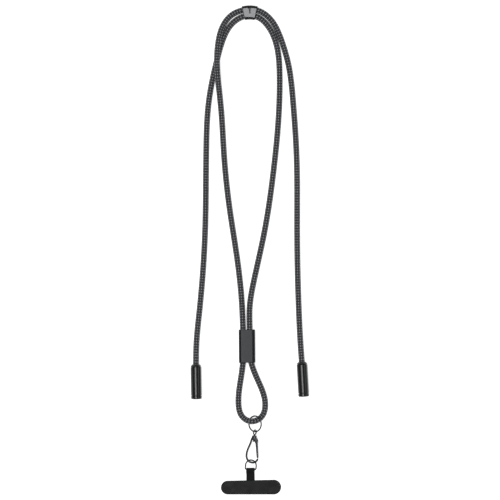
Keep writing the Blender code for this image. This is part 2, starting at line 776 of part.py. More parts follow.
def build_pad():
    """The pad, with a recess under its edge for the strap's tail."""
    material = finish("matte_black_rubber", (0.015, 0.015, 0.015), 0.7, 0.0)
    mesh = mesh_of(plate_curve("tether_pad", [pad_outline()], PAD_THICKNESS))
    mesh.transform(Matrix.Translation((0.0, 0.0, PAD_THICKNESS / 2)))
    pad = place("tether_pad", mesh, material)
    soften(pad, PAD_EDGE, 2, 50)
    half = STRAP_WIDTH / 2 + GAP
    edge = PAD_LEFT_CENTRE[1] + PAD_LEFT_R
    recess = box_mesh(
        "pad_recess",
        (STRAP_CENTRE_X - half, edge - STRAP_TAIL_IN_PAD - GAP, -MM),
        (STRAP_CENTRE_X + half, edge + 5 * MM, 2 * STRAP_LAYER + GAP),
    )
    combine(pad, place("pad_recess", recess), "DIFFERENCE")


def main():
    clear_scene()
    make_collections()
    points = cable_centreline()
    build_cable(points)
    build_clip(points)
    build_slider()
    plugs = (("left", LEFT_PLUG_TOP, LEFT_PLUG_TILT), ("right", RIGHT_PLUG_TOP, RIGHT_PLUG_TILT))
    for side, top, tilt in plugs:
        frame = plug_frame(f"{side}_plug_frame", top, tilt)
        build_plug(side, frame)
        build_cover(side, frame)
    build_ring()
    build_eye()
    eye, up = hook_axis()
    lean = Matrix.Rotation(HOOK_ROLL, 3, up)
    hook_frame = frame_at("hook_frame", axis_frame(eye, up, lean @ Vector((0.0, 0.0, 1.0))))
    build_hook(hook_frame)
    build_gate(hook_frame)
    build_d_ring()
    build_strap()
    build_pad()
    for thing in parts.objects:
        shade_round(thing)
    bpy.context.view_layer.update()


main()
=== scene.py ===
"""Charging cable lanyard: a braided cable worn twice round the neck, laid flat on a pale table."""

import math

import bmesh
import bpy
import numpy as np
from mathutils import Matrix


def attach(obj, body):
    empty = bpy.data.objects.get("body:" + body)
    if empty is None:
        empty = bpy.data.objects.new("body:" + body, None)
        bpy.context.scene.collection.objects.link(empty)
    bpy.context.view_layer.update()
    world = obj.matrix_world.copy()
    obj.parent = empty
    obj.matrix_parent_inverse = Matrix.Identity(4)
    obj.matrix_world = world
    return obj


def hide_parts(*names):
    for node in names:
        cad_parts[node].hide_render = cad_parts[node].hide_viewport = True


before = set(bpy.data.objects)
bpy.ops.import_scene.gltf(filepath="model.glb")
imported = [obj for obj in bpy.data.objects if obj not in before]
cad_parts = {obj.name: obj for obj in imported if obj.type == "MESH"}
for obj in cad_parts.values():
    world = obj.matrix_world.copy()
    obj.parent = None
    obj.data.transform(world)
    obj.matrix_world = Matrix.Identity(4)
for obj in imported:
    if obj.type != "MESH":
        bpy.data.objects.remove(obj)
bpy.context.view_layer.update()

# Camera. It hangs over the table and looks straight down through a long lens, so that the lanyard
# is seen flat, pad at the bottom and neck clip at the top, and a millimetre is a pixel.
camera_height = 3.0
camera_span = 0.5
camera_aim = (0.0002, 0.0001)
film_width = 36.0
camera_data = bpy.data.cameras.new("overhead_camera")
camera_data.sensor_width = film_width
camera_data.lens = film_width * camera_height / camera_span
camera_data.clip_end = 20.0
camera = bpy.data.objects.new("overhead_camera", camera_data)
camera.location = (*camera_aim, camera_height)
bpy.context.scene.collection.objects.link(camera)
bpy.context.scene.camera = camera


# Braided cable. One round cable of about 6 mm in a two-tone braid of polyester yarns, charcoal and
# grey, over a limp core. It leaves the left plug, passes clip, slider, bottom loop, slider and clip
# again, and ends in the right plug.
CABLE_D = 0.0059
CABLE_ROUTE = np.array((
    (-0.0538, -0.1157, 0.0054),
    (-0.0534, -0.0939, 0.0043),
    (-0.0505, -0.0619, 0.00295),
    (-0.0447, 0.0201, 0.00295),
    (-0.0434, 0.1101, 0.00295),
    (-0.0418, 0.1416, 0.00295),
    (-0.0384, 0.1651, 0.00295),
    (-0.0328, 0.1901, 0.00295),
    (-0.0270, 0.2101, 0.00295),
    (-0.0188, 0.2250, 0.00295),
    (-0.0065, 0.2332, 0.0041),
    (0.0065, 0.2332, 0.0041),
    (0.0177, 0.2243, 0.00295),
    (0.0268, 0.2041, 0.00295),
    (0.0297, 0.1751, 0.00295),
    (0.0287, 0.1331, 0.00295),
    (0.0235, 0.0781, 0.00295),
    (0.0145, 0.0181, 0.00295),
    (0.0042, -0.0299, 0.00295),
    (-0.0002, -0.0579, 0.00295),
    (-0.0002, -0.0799, 0.0042),
    (0.0011, -0.1109, 0.0042),
    (0.0091, -0.1324, 0.00295),
    (0.0153, -0.1529, 0.00295),
    (0.0117, -0.1665, 0.0034),
    (0.0022, -0.17095, 0.0053),
    (-0.0074, -0.1665, 0.0032),
    (-0.0114, -0.1524, 0.00295),
    (-0.0094, -0.1309, 0.00295),
    (-0.0068, -0.1109, 0.0042),
    (-0.0068, -0.0799, 0.0042),
    (-0.0081, -0.0519, 0.00295),
    (-0.0125, -0.0099, 0.00295),
    (-0.0203, 0.0421, 0.00295),
    (-0.0258, 0.0951, 0.00295),
    (-0.0288, 0.1416, 0.00295),
    (-0.0307, 0.1601, 0.0050),
    (-0.0322, 0.1751, 0.0088),
    (-0.0328, 0.1901, 0.0095),
    (-0.0316, 0.2066, 0.0089),
    (-0.0263, 0.2248, 0.0056),
    (-0.0183, 0.2346, 0.0043),
    (-0.0076, 0.2394, 0.0041),
    (0.0076, 0.2394, 0.0041),
    (0.0200, 0.2313, 0.0034),
    (0.0312, 0.2106, 0.00295),
    (0.0386, 0.1851, 0.00295),
    (0.0432, 0.1481, 0.00295),
    (0.0468, 0.0901, 0.00295),
    (0.0472, 0.0201, 0.00295),
    (0.0488, -0.0569, 0.00295),
    (0.0506, -0.0939, 0.0043),
    (0.0520, -0.1133, 0.0054),
))
CABLE_STEP = 0.0011
CABLE_SIDES = 28
SPLINE_SAMPLES = 40
BRAID_YARNS = 8.0
BRAID_PITCH = 0.0027
YARN_FIBRES = 4
WELD_DISTANCE = 0.000002


def chord_lengths(points):
    """Length along the points up to each: the running sum of the distances between neighbours."""
    return np.concatenate([[0.0], np.cumsum(np.linalg.norm(np.diff(points, axis=0), axis=1))])


def bending_slopes(values, at):
    """Slopes of the natural cubic spline: the curvature is continuous, and zero at both ends."""
    step = np.diff(at)
    rise = np.diff(values, axis=0) / step[:, None]
    inverse = 1 / step
    middle = np.concatenate([[2 * inverse[0]], 2 * (inverse[:-1] + inverse[1:]), [2 * inverse[-1]]])
    system = np.diag(middle) + np.diag(inverse, 1) + np.diag(inverse, -1)
    pull = rise * inverse[:, None]
    right = 3 * np.concatenate([pull[:1], pull[:-1] + pull[1:], pull[-1:]])
    return np.linalg.solve(system, right)


def resting_slopes(values, at):
    """Harmonic mean of the rises on both sides, or zero where they differ in sign: a level stretch
    stays level.
    """
    rise = np.diff(values) / np.diff(at)
    slopes = np.zeros(len(values))
    same = rise[:-1] * rise[1:] > 0
    slopes[1:-1][same] = 2 / (1 / rise[:-1][same] + 1 / rise[1:][same])
    return slopes


def hermite(at, values, slopes, where):
    """Cubic through the values with those slopes; the four weights are the Hermite polynomials of the
    share u.
    """
    i = np.clip(np.searchsorted(at, where, side="right") - 1, 0, len(at) - 2)
    step = (at[i + 1] - at[i])[:, None]
    u = (where - at[i])[:, None] / step
    start = (1 + 2 * u) * (1 - u) ** 2 * values[i] + u * (1 - u) ** 2 * step * slopes[i]
    return start + u**2 * (3 - 2 * u) * values[i + 1] + u**2 * (u - 1) * step * slopes[i + 1]


def smooth_line(route, spacing, keep_level=True):
    """Points about that far apart on the spline through the route, whose heights never overshoot when
    keep_level.
    """
    at = chord_lengths(route)
    slopes = bending_slopes(route, at)
    if keep_level:
        slopes[:, 2] = resting_slopes(route[:, 2], at)
    fine = hermite(at, route, slopes, np.linspace(0, at[-1], SPLINE_SAMPLES * len(route)))
    length = chord_lengths(fine)
    wanted = np.linspace(0, length[-1], int(length[-1] / spacing) + 1)
    return np.stack([np.interp(wanted, length, fine[:, k]) for k in range(3)], axis=1)


def unit(vectors):
    """Each vector over its own length."""
    return vectors / np.linalg.norm(vectors, axis=-1, keepdims=True)


def round_section(width, height, count, power=2.0):
    """Superellipse |x/a|^power + |y/b|^power = 1, as points at even angles: 2 is an ellipse, 4 a soft
    box.
    """
    angle = np.linspace(0, 2 * math.pi, count, endpoint=False)
    c, s = np.cos(angle), np.sin(angle)
    reach = (np.abs(c) ** power + np.abs(s) ** power) ** (-1 / power)
    return np.stack([width / 2 * c * reach, height / 2 * s * reach], axis=1)


def swept(path, section, up, shares=None, loop=False):
    """Grid of a section carried along a path: point + side * x + over * y, times each row's share of
    the section.

    side is the direction of travel crossed with up, and over is side crossed with the direction of
    travel.
    """
    if loop:
        travel = unit(np.roll(path, -1, axis=0) - np.roll(path, 1, axis=0))
    else:
        travel = unit(np.gradient(path, axis=0))
    side = unit(np.cross(travel, np.broadcast_to(up, path.shape)))
    over = np.cross(side, travel)
    shares = np.ones(len(path)) if shares is None else shares
    x = section[None, :, 0, None] * shares[:, None, None]
    y = section[None, :, 1, None] * shares[:, None, None]
    return path[:, None] + side[:, None] * x + over[:, None] * y


def shell(grid, uv=None, loop=False, capped=True):
    """(points, faces, corner UVs) of a grid whose columns close round the piece.

    Rows close into a loop as well, or else each end gets a cap. Faces are turned outwards by the
    sign of the volume.
    """
    rows, columns = grid.shape[:2]
    index = np.arange(rows * columns).reshape(rows, columns)
    index = np.hstack([index, index[:, :1]])
    if loop:
        index = np.vstack([index, index[:1]])
    if uv is None:
        uv = np.zeros((*index.shape, 2))
    corners = [(slice(None, -1), slice(None, -1)), (slice(1, None), slice(None, -1))]
    corners += [(slice(1, None), slice(1, None)), (slice(None, -1), slice(1, None))]
    quads = np.stack([index[c] for c in corners], axis=-1).reshape(-1, 4)
    quad_uv = np.stack([uv[c] for c in corners], axis=-2).reshape(-1, 4, 2)
    points = grid.reshape(-1, 3)
    ends = [] if loop or not capped else [index[0, :-1][::-1], index[-1, :-1]]
    a, b, c, d = (points[quads[:, k]] for k in range(4))
    volume = np.einsum("ij,ij->", a, np.cross(b, c)) + np.einsum("ij,ij->", a, np.cross(c, d))
    for end in ends:
        p = points[end]
        volume -= np.einsum("j,ij->", p[0], np.cross(p[1:-1], p[2:]))
    if volume < 0:
        quads, quad_uv = quads[:, ::-1], quad_uv[:, ::-1]
    else:
        ends = [end[::-1] for end in ends]
    ends = [end[::-1] for end in ends]
    faces = quads.tolist() + [end.tolist() for end in ends]
    uvs = np.concatenate([quad_uv.reshape(-1, 2)] + [np.zeros((len(end), 2)) for end in ends])
    return points, faces, uvs


def make_piece(name, material, body, slot, replaced, *shells, sharp_deg=40.0):
    """One mesh object out of closed shells, merged at its poles and seams, riding on a body."""
    points, faces, uvs, first = [], [], [], 0
    for shell_points, shell_faces, shell_uvs in shells:
        points.append(shell_points)
        faces += [[i + first for i in face] for face in shell_faces]
        uvs.append(shell_uvs)
        first += len(shell_points)
    mesh = bpy.data.meshes.new(name)
    mesh.from_pydata(np.concatenate(points).tolist(), [], faces)
    layer = mesh.uv_layers.new(name="yarn")
    layer.data.foreach_set("uv", np.concatenate(uvs).astype(np.float32).ravel())
    body_mesh = bmesh.new()
    body_mesh.from_mesh(mesh)
    bmesh.ops.remove_doubles(body_mesh, verts=body_mesh.verts, dist=WELD_DISTANCE)
    bmesh.ops.recalc_face_normals(body_mesh, faces=body_mesh.faces)
    body_mesh.to_mesh(mesh)
    body_mesh.free()
    mesh.polygons.foreach_set("use_smooth", np.ones(len(mesh.polygons), bool))
    mesh.set_sharp_from_angle(angle=math.radians(sharp_deg))
    mesh.materials.append(material)
    piece = bpy.data.objects.new(name, mesh)
    bpy.context.scene.collection.objects.link(piece)
    if replaced:
        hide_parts(replaced)
    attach(piece, body)
    return piece


def linear(hex_colour):
    """sRGB hex to linear RGBA: c / 12.92 below 0.04045, and ((c + 0.055) / 1.055) ** 2.4 above."""
    c = np.array([int(hex_colour[i : i + 2], 16) for i in (1, 3, 5)]) / 255
    rgb = np.where(c <= 0.04045, c / 12.92, ((c + 0.055) / 1.055) ** 2.4)
    return (*rgb.tolist(), 1.0)


def add(tree, kind, inputs=None, **settings):
    """Adds a node, sets its settings, and sets or links its inputs; returns its first output."""
    node = tree.nodes.new(kind)
    for key, value in settings.items():
        setattr(node, key, value)
    for key, value in (inputs or {}).items():
        if isinstance(value, bpy.types.NodeSocket):
            tree.links.new(value, node.inputs[key])
        else:
            node.inputs[key].default_value = value
    return node.outputs[0]


def maths(tree, operation, a, b=0.0):
    """The operation on the numbers a and b."""
    return add(tree, "ShaderNodeMath", {0: a, 1: b}, operation=operation)


def blend_colours(tree, share, a, b):
    """Colour a where the share is 0 and b where it is 1."""
    node = tree.nodes.new("ShaderNodeMix")
    node.data_type = "RGBA"
    for key, value in ((0, share), (6, a), (7, b)):
        if isinstance(value, bpy.types.NodeSocket):
            tree.links.new(value, node.inputs[key])
        else:
            node.inputs[key].default_value = value
    return node.outputs[2]


def ramp(tree, value, low, high, to_low=0.0, to_high=1.0):
    """Straight line from to_low at low to to_high at high, level outside."""
    places = {"Value": value, "From Min": low, "From Max": high, "To Min": to_low, "To Max": to_high}
    return add(tree, "ShaderNodeMapRange", places)


def new_finish(name, **constants):
    """A material with its constants set on the shader's own sockets; returns (material, tree, shader).
    """
    material = bpy.data.materials.new(name)
    material.use_nodes = True
    tree = material.node_tree
    shader = tree.nodes["Principled BSDF"]
    for key, value in constants.items():
        shader.inputs[key.replace("_", " ")].default_value = value
    return material, tree, shader


def relief(tree, shader, height, distance, strength):
    """Bump from a height of 0 to 1 that stands for that distance in metres."""
    bump = add(tree, "ShaderNodeBump", {"Height": height, "Distance": distance, "Strength": strength})
    tree.links.new(bump, shader.inputs["Normal"])


def braid_finish():
    """Two sets of eight yarns wind opposite ways: p = 8 u + v / pitch and q = 8 u - v / pitch.

    A yarn is the band between whole values of p or of q. The p yarn lies on top where the whole
    parts of p and q add to an even number, and each yarn's height over its width is half a sine.
    """
    # Braided polyester: matt with a faint sheen. The yarns are drawn coarser than real ones, to show at
    # 1 mm a pixel.
    material, tree, shader = new_finish("two_tone_polyester_braid", Roughness=0.78, Sheen_Weight=0.12)
    place = add(tree, "ShaderNodeUVMap", uv_map="yarn")
    split = tree.nodes.new("ShaderNodeSeparateXYZ")
    tree.links.new(place, split.inputs[0])
    around = maths(tree, "MULTIPLY", split.outputs[0], BRAID_YARNS)
    along = maths(tree, "MULTIPLY", split.outputs[1], 1 / BRAID_PITCH)
    p = maths(tree, "ADD", around, along)
    q = maths(tree, "SUBTRACT", around, along)
    p_floor, q_floor = maths(tree, "FLOOR", p), maths(tree, "FLOOR", q)
    p_share, q_share = maths(tree, "FRACT", p), maths(tree, "FRACT", q)
    odd = maths(tree, "FLOORED_MODULO", maths(tree, "ADD", p_floor, q_floor), 2.0)
    p_crown = maths(tree, "SINE", maths(tree, "MULTIPLY", p_share, math.pi))
    q_crown = maths(tree, "SINE", maths(tree, "MULTIPLY", q_share, math.pi))
    across = add(tree, "ShaderNodeMix", {0: odd, 2: p_crown, 3: q_crown}, data_type="FLOAT")
    length = add(tree, "ShaderNodeMix", {0: odd, 2: q_crown, 3: p_crown}, data_type="FLOAT")
    across_crown, length_crown = maths(tree, "POWER", across, 0.6), maths(tree, "POWER", length, 0.45)
    crown = maths(tree, "MULTIPLY", across_crown, length_crown)
    p_fibre = maths(tree, "SINE", maths(tree, "MULTIPLY", p, 2 * math.pi * YARN_FIBRES))
    q_fibre = maths(tree, "SINE", maths(tree, "MULTIPLY", q, 2 * math.pi * YARN_FIBRES))
    fibre = add(tree, "ShaderNodeMix", {0: odd, 2: p_fibre, 3: q_fibre}, data_type="FLOAT")
    fuzz = add(tree, "ShaderNodeTexNoise", {"Scale": 900.0, "Detail": 3.0})
    patch = add(tree, "ShaderNodeTexNoise", {"Scale": 45.0, "Detail": 2.0})
    charcoal = blend_colours(tree, ramp(tree, fuzz, 0.35, 0.7), linear("#101012"), linear("#29292d"))
    grey = blend_colours(tree, ramp(tree, fuzz, 0.3, 0.7), linear("#66676c"), linear("#b4b5ba"))
    yarn = blend_colours(tree, odd, charcoal, grey)
    worn = blend_colours(tree, ramp(tree, patch, 0.35, 0.7, 0.0, 0.2), yarn, linear("#3c3d41"))
    # Painted shade: stripes along each yarn's fibres, darkened by up to 35 % towards #1c1c1f, stand in for
    # the shade between the fibres.
    fibre_shaded = blend_colours(tree, ramp(tree, fibre, -1.0, 1.0, 0.0, 0.35), worn, linear("#1c1c1f"))
    # Painted shade: the colour goes to near-black #0a0a0b where a yarn's crown falls away, at its edges
    # and where it passes under the crossing yarn.
    colour = blend_colours(tree, ramp(tree, crown, 0.35, 0.9), linear("#0a0a0b"), fibre_shaded)
    tree.links.new(colour, shader.inputs["Base Color"])
    height = maths(tree, "ADD", crown, maths(tree, "MULTIPLY", fibre, 0.08))
    relief(tree, shader, height, 0.00035, 0.9)
    return material


def make_cable():
    """Circle of the cable's radius carried along the route; u is the share of a turn and v the length
    in metres.
    """
    path = smooth_line(CABLE_ROUTE, CABLE_STEP)
    grid = swept(path, round_section(CABLE_D, CABLE_D, CABLE_SIDES), (0.0, 0.0, 1.0))
    around, along = np.meshgrid(np.linspace(0, 1, CABLE_SIDES + 1), chord_lengths(path))
    tube = shell(grid, np.stack([around, along], axis=-1))
    finish = braid_finish()
    piece = make_piece("cable_braid", finish, "cable_and_ring", "charcoal_braid", "braided_cable", tube)
    return piece, path


cable_piece, cable_path = make_cable()


# Neck clip. A hard plastic bridge, moulded in black with a grey metallised face, that holds both
# strands at the nape. It is a slice of a ring with soft edges; the strands pass a flat tunnel, and a
# slot is let into its face.
CLIP_CENTRE_Y = 0.211
CLIP_STRAND_RADII = (0.02313, 0.0294)
CLIP_HALF_ANGLE = math.radians(14.2)
CLIP_WALL = 0.00075
CLIP_HEIGHT = 0.0082
CLIP_CORNER = 0.0033
CLIP_TUNNEL_GAP = 0.0003
CLIP_COLUMNS = 240
CLIP_FACE_HEIGHTS = (0.00775, 0.0081)
TUNNEL_ROWS = 12
# Depth, half length, middle across, half width and edge of the slot, and of the notch behind it.
CLIP_SLOT = (0.0006, 0.00065, 0.0009, 0.0021, 0.00015)
CLIP_NOTCH = (0.00035, 0.0013, 0.0054, 0.0017, 0.0002)


def even_outline(width, height, corner, count):
    """(points, outward normals) at even distances on a box with round corners: corner centre + radius *
    normal.
    """
    corner_points = 25
    quarter = np.radians(np.linspace(0, 90, corner_points))
    turns = quarter[None] + np.radians([0, 90, 180, 270])[:, None]
    signs = np.array([(1, 1), (-1, 1), (-1, -1), (1, -1)])
    centres = signs * (np.array([width, height]) / 2 - corner)
    normals = np.stack([np.cos(turns), np.sin(turns)], axis=-1).reshape(-1, 2)
    outline = np.repeat(centres, corner_points, axis=0) + corner * normals
    outline, normals = np.vstack([outline, outline[:1]]), np.vstack([normals, normals[:1]])
    length = chord_lengths(outline)
    wanted = np.linspace(0, length[-1], count, endpoint=False)
    points = np.stack([np.interp(wanted, length, outline[:, k]) for k in (0, 1)], axis=1)
    turned = np.stack([np.interp(wanted, length, normals[:, k]) for k in (0, 1)], axis=1)
    return points, unit(turned)


def tunnel_rows(half_length, edge, body_rows):
    """(place along, inset) of each row from one end to the other, with the end's edge rounded to a
    quarter circle.
    """
    turn = np.radians(np.linspace(0, 90, 6))
    start = np.stack([-half_length + edge * (1 - np.sin(turn)), edge * (1 - np.cos(turn))], axis=1)[::-1]
    level = np.linspace(-half_length + edge, half_length - edge, body_rows)[1:-1]
    middle = np.stack([level, np.zeros(body_rows - 2)], axis=1)
    return np.vstack([start, middle, start[::-1] * (-1, 1)])


def tunnel_shell(bend, outer, inner, half_length, outer_edge, inner_edge, body_rows, sink=None):
    """A sleeve as one closed surface: out along the skin, round the end, back along the tunnel and
    round the other end.

    bend(along, across, height) gives the place; sink(along, across) is a recess's depth where the
    skin faces up.
    """
    out_rows = tunnel_rows(half_length, outer_edge, body_rows)
    in_rows = tunnel_rows(half_length, inner_edge, TUNNEL_ROWS)[::-1]
    grids = []
    for rows, (outline, normals), sign in ((out_rows, outer, -1), (in_rows, inner, 1)):
        section = outline[None] + sign * rows[:, 1, None, None] * normals[None]
        along = np.broadcast_to(rows[:, :1], section.shape[:2])
        height = section[..., 1]
        if sink is not None and sign < 0:
            faces_up = normals[None, :, 1] > 0.9
            height = height - sink(along, section[..., 0]) * faces_up
        grids.append(bend(along, section[..., 0], height))
    return shell(np.concatenate(grids), loop=True)


def soft_box(value, half, edge):
    """1 inside plus or minus half, 0 outside, straight ramp of width edge between them."""
    return np.clip((half - np.abs(value)) / edge + 0.5, 0, 1)


def clip_place(along, across, height):
    """Arc length and distance outwards become places on circles about the nape's centre."""
    radius = across + sum(CLIP_STRAND_RADII) / 2
    angle = along / (sum(CLIP_STRAND_RADII) / 2)
    x, y = radius * np.sin(angle), CLIP_CENTRE_Y + radius * np.cos(angle)
    return np.stack([x, y, height + CLIP_HEIGHT / 2], axis=-1)


def clip_recess(along, across):
    """The deeper of slot and notch, each its depth * a soft box along the clip * a soft box across it.
    """
    depths = [
        depth * soft_box(along, half_long, edge) * soft_box(across - middle, half_wide, edge)
        for depth, half_long, middle, half_wide, edge in (CLIP_SLOT, CLIP_NOTCH)
    ]
    return np.maximum(*depths)


def clip_finish():
    """Metallised plastic, brushed across in hairlines 0.1 mm apart, darker where the height falls away
    at the edges.
    """
    material, tree, shader = new_finish(
        "metallised_clip_face", Metallic=0.85, Coat_Weight=0.4, Coat_Roughness=0.08
    )
    place = tree.nodes.new("ShaderNodeTexCoord").outputs["Object"]
    hairline_place = add(tree, "ShaderNodeMapping", {"Vector": place, "Scale": (0.05, 1.0, 1.0)})
    hairline = add(tree, "ShaderNodeTexNoise", {"Vector": hairline_place, "Scale": 9000.0, "Detail": 3.0})
    height = tree.nodes.new("ShaderNodeSeparateXYZ")
    tree.links.new(place, height.inputs[0])
    face = ramp(tree, height.outputs[2], *CLIP_FACE_HEIGHTS)
    metal = blend_colours(tree, ramp(tree, hairline, 0.3, 0.7), linear("#3a3b3c"), linear("#4c4d4f"))
    colour = blend_colours(tree, face, linear("#0a0a0b"), metal)
    tree.links.new(colour, shader.inputs["Base Color"])
    tree.links.new(ramp(tree, hairline, 0.3, 0.7, 0.16, 0.28), shader.inputs["Roughness"])
    relief(tree, shader, hairline, 0.00001, 0.6)
    return material


clip_width = CLIP_STRAND_RADII[1] - CLIP_STRAND_RADII[0] + CABLE_D + 2 * (CLIP_TUNNEL_GAP + CLIP_WALL)
clip_bore = CABLE_D + 2 * CLIP_TUNNEL_GAP
clip_bore_width = clip_bore + CLIP_STRAND_RADII[1] - CLIP_STRAND_RADII[0]
clip_shell = tunnel_shell(
    clip_place,
    even_outline(clip_width, CLIP_HEIGHT, CLIP_CORNER, CLIP_COLUMNS),
    even_outline(clip_bore_width, clip_bore, clip_bore / 2 - 0.00001, CLIP_COLUMNS),
    half_length=CLIP_HALF_ANGLE * sum(CLIP_STRAND_RADII) / 2,
    outer_edge=0.0006,
    inner_edge=0.0003,
    body_rows=90,
    sink=clip_recess,
)
make_piece(
    "clip_bridge",
    clip_finish(),
    "cable_and_ring",
    "clip_gloss_black",
    "neck_clip",
    clip_shell,
    sharp_deg=60.0,
)


# Slider sleeve. A flattened tube of thin metal, plated in satin gunmetal and brushed lengthwise, with
# deburred ends. Both inner strands run through it side by side, and it is pushed up or down to set the
# loop's size.
SLIDER_CENTRE = (-0.0028, -0.0959)
SLIDER_TILT = math.radians(0.5)
SLIDER_SIZE = (0.0164, 0.0084)
SLIDER_LENGTH = 0.033
SLIDER_WALL = 0.0008
SLIDER_CORNER = 0.0031
SLIDER_COLUMNS = 160


def slider_place(along, across, height):
    """Straight sleeve: across and along are turned by the tilt about the sleeve's centre."""
    c, s = math.cos(SLIDER_TILT), math.sin(SLIDER_TILT)
    x = SLIDER_CENTRE[0] + across * c - along * s
    y = SLIDER_CENTRE[1] + across * s + along * c
    return np.stack([x, y, height + SLIDER_SIZE[1] / 2], axis=-1)


def brushed_finish(name, dark, light, roughness, grain_scale):
    """Plated metal: hairlines stretched along Y vary the colour, the roughness and the height a little.
    """
    material, tree, shader = new_finish(name, Metallic=1.0)
    place = tree.nodes.new("ShaderNodeTexCoord").outputs["Object"]
    grain_place = add(tree, "ShaderNodeMapping", {"Vector": place, "Scale": (1.0, 0.04, 1.0)})
    grain = add(tree, "ShaderNodeTexNoise", {"Vector": grain_place, "Scale": grain_scale, "Detail": 4.0})
    patch = add(tree, "ShaderNodeTexNoise", {"Vector": place, "Scale": 260.0, "Detail": 2.0})
    mixed = maths(tree, "ADD", maths(tree, "MULTIPLY", grain, 0.6), maths(tree, "MULTIPLY", patch, 0.4))
    colour = blend_colours(tree, ramp(tree, mixed, 0.35, 0.65), linear(dark), linear(light))
    tree.links.new(colour, shader.inputs["Base Color"])
    varied = ramp(tree, mixed, 0.3, 0.7, roughness - 0.06, roughness + 0.08)
    tree.links.new(varied, shader.inputs["Roughness"])
    relief(tree, shader, grain, 0.00001, 0.5)
    return material


slider_bore = (SLIDER_SIZE[0] - 2 * SLIDER_WALL, SLIDER_SIZE[1] - 2 * SLIDER_WALL)
slider_shell = tunnel_shell(
    slider_place,
    even_outline(*SLIDER_SIZE, SLIDER_CORNER, SLIDER_COLUMNS),
    even_outline(*slider_bore, SLIDER_CORNER - SLIDER_WALL, SLIDER_COLUMNS),
    half_length=SLIDER_LENGTH / 2,
    outer_edge=0.00035,
    inner_edge=0.0002,
    body_rows=24,
)
slider_finish = brushed_finish("satin_gunmetal_plating", "#262728", "#303132", 0.36, 7000.0)
make_piece(
    "slider_tube", slider_finish, "cable_and_ring", "gunmetal_satin", "slider_sleeve", slider_shell
)


# Plugs and covers. Each end of the cable has a connector with a turned collar, and a pull-off barrel
# over it, moulded in gloss black with a groove near its closed end. The plug below is a plain stand-in
# for the connector.
PLUG_ENDS = (("left", -0.05383, -0.1142, 0.96), ("right", 0.05195, -0.1118, 3.2))
PLUG_HEIGHT = 0.0054
# Profiles as (radius, height) in millimetres, from the plug's top down.
PLUG_RIBS = [(4.2 - 0.2 * (k % 2), -6.0 - 0.8 * (k // 2) - 0.1 * (k % 2)) for k in range(12)]
PLUG_PROFILE = [(0.0, -1.8), (3.25, -1.8), (3.25, 0.0), (4.0, 0.0), (5.25, -1.7), (5.25, -2.1)]
PLUG_PROFILE += [(4.2, -2.1), *PLUG_RIBS, (4.2, -12.0), (4.2, -19.1), (3.7, -19.6), (0.0, -19.6)]
COVER_PROFILE = [(0.0, -30.2), (4.5, -30.2), (4.5, -2.4), (5.15, -2.4), (5.4, -2.65), (5.4, -30.85)]
COVER_PROFILE += [(5.06, -30.95), (5.06, -31.45), (5.4, -31.55), (5.4, -33.7), (4.9, -34.4)]
COVER_PROFILE += [(4.2, -34.5), (0.0, -34.5)]
PLUG_ROUNDING = 0.25
COVER_ROUNDING = 0.3
TIP_SIZE = (0.0083, 0.0025)
TIP_REACH = (-0.0191, -0.0261)
TIP_ROWS = 24


def rounded_profile(points, radius, count=5):
    """Each corner becomes a Bezier curve with the corner as its middle point: (1-t)^2 a + 2 t (1-t) c +
    t^2 b.
    """
    points = np.array(points)
    before, here, after = points[:-2], points[1:-1], points[2:]
    reach_back, reach_on = here - before, after - here
    room = np.minimum(np.linalg.norm(reach_back, axis=1), np.linalg.norm(reach_on, axis=1)) * 0.45
    cut = np.minimum(room, radius)[:, None]
    a, b = here - unit(reach_back) * cut, here + unit(reach_on) * cut
    t = np.linspace(0, 1, count)[None, :, None]
    curves = (1 - t) ** 2 * a[:, None] + 2 * t * (1 - t) * here[:, None] + t**2 * b[:, None]
    return np.vstack([points[:1], curves.reshape(-1, 2), points[-1:]])


def turned(profile, origin, axis, count=72):
    """Profile of (radius, height) turned about the axis: origin + height * axis + radius * (side cos a
    + over sin a).
    """
    axis = unit(np.array(axis, float))
    helper = np.array((0.0, 0.0, 1.0)) if abs(axis[2]) < 0.9 else np.array((1.0, 0.0, 0.0))
    side = unit(np.cross(axis, helper))
    over = np.cross(axis, side)
    angle = np.linspace(0, 2 * math.pi, count, endpoint=False)
    ring = side * np.cos(angle)[:, None] + over * np.sin(angle)[:, None]
    grid = np.array(origin) + profile[:, 1, None, None] * axis + profile[:, 0, None, None] * ring[None]
    return shell(grid, capped=False)


def gloss_finish(name, colour, roughness):
    """Moulded ABS: slow waves a few millimetres long in the surface, and fine hairlines in the
    roughness.
    """
    material, tree, shader = new_finish(name, Base_Color=linear(colour))
    place = tree.nodes.new("ShaderNodeTexCoord").outputs["Object"]
    smear = add(tree, "ShaderNodeTexNoise", {"Vector": place, "Scale": 220.0, "Detail": 4.0})
    scratch_place = add(tree, "ShaderNodeMapping", {"Vector": place, "Scale": (1.0, 0.06, 1.0)})
    scratch = add(tree, "ShaderNodeTexNoise", {"Vector": scratch_place, "Scale": 5200.0, "Detail": 2.0})
    smeared = ramp(tree, smear, 0.35, 0.75, 0.0, 0.09)
    scratched = ramp(tree, scratch, 0.62, 0.8, 0.0, 0.12)
    worn = maths(tree, "ADD", smeared, scratched)
    tree.links.new(maths(tree, "ADD", worn, roughness), shader.inputs["Roughness"])
    wave = add(tree, "ShaderNodeTexNoise", {"Vector": place, "Scale": 160.0, "Detail": 1.0})
    relief(tree, shader, wave, 0.00004, 0.5)
    return material


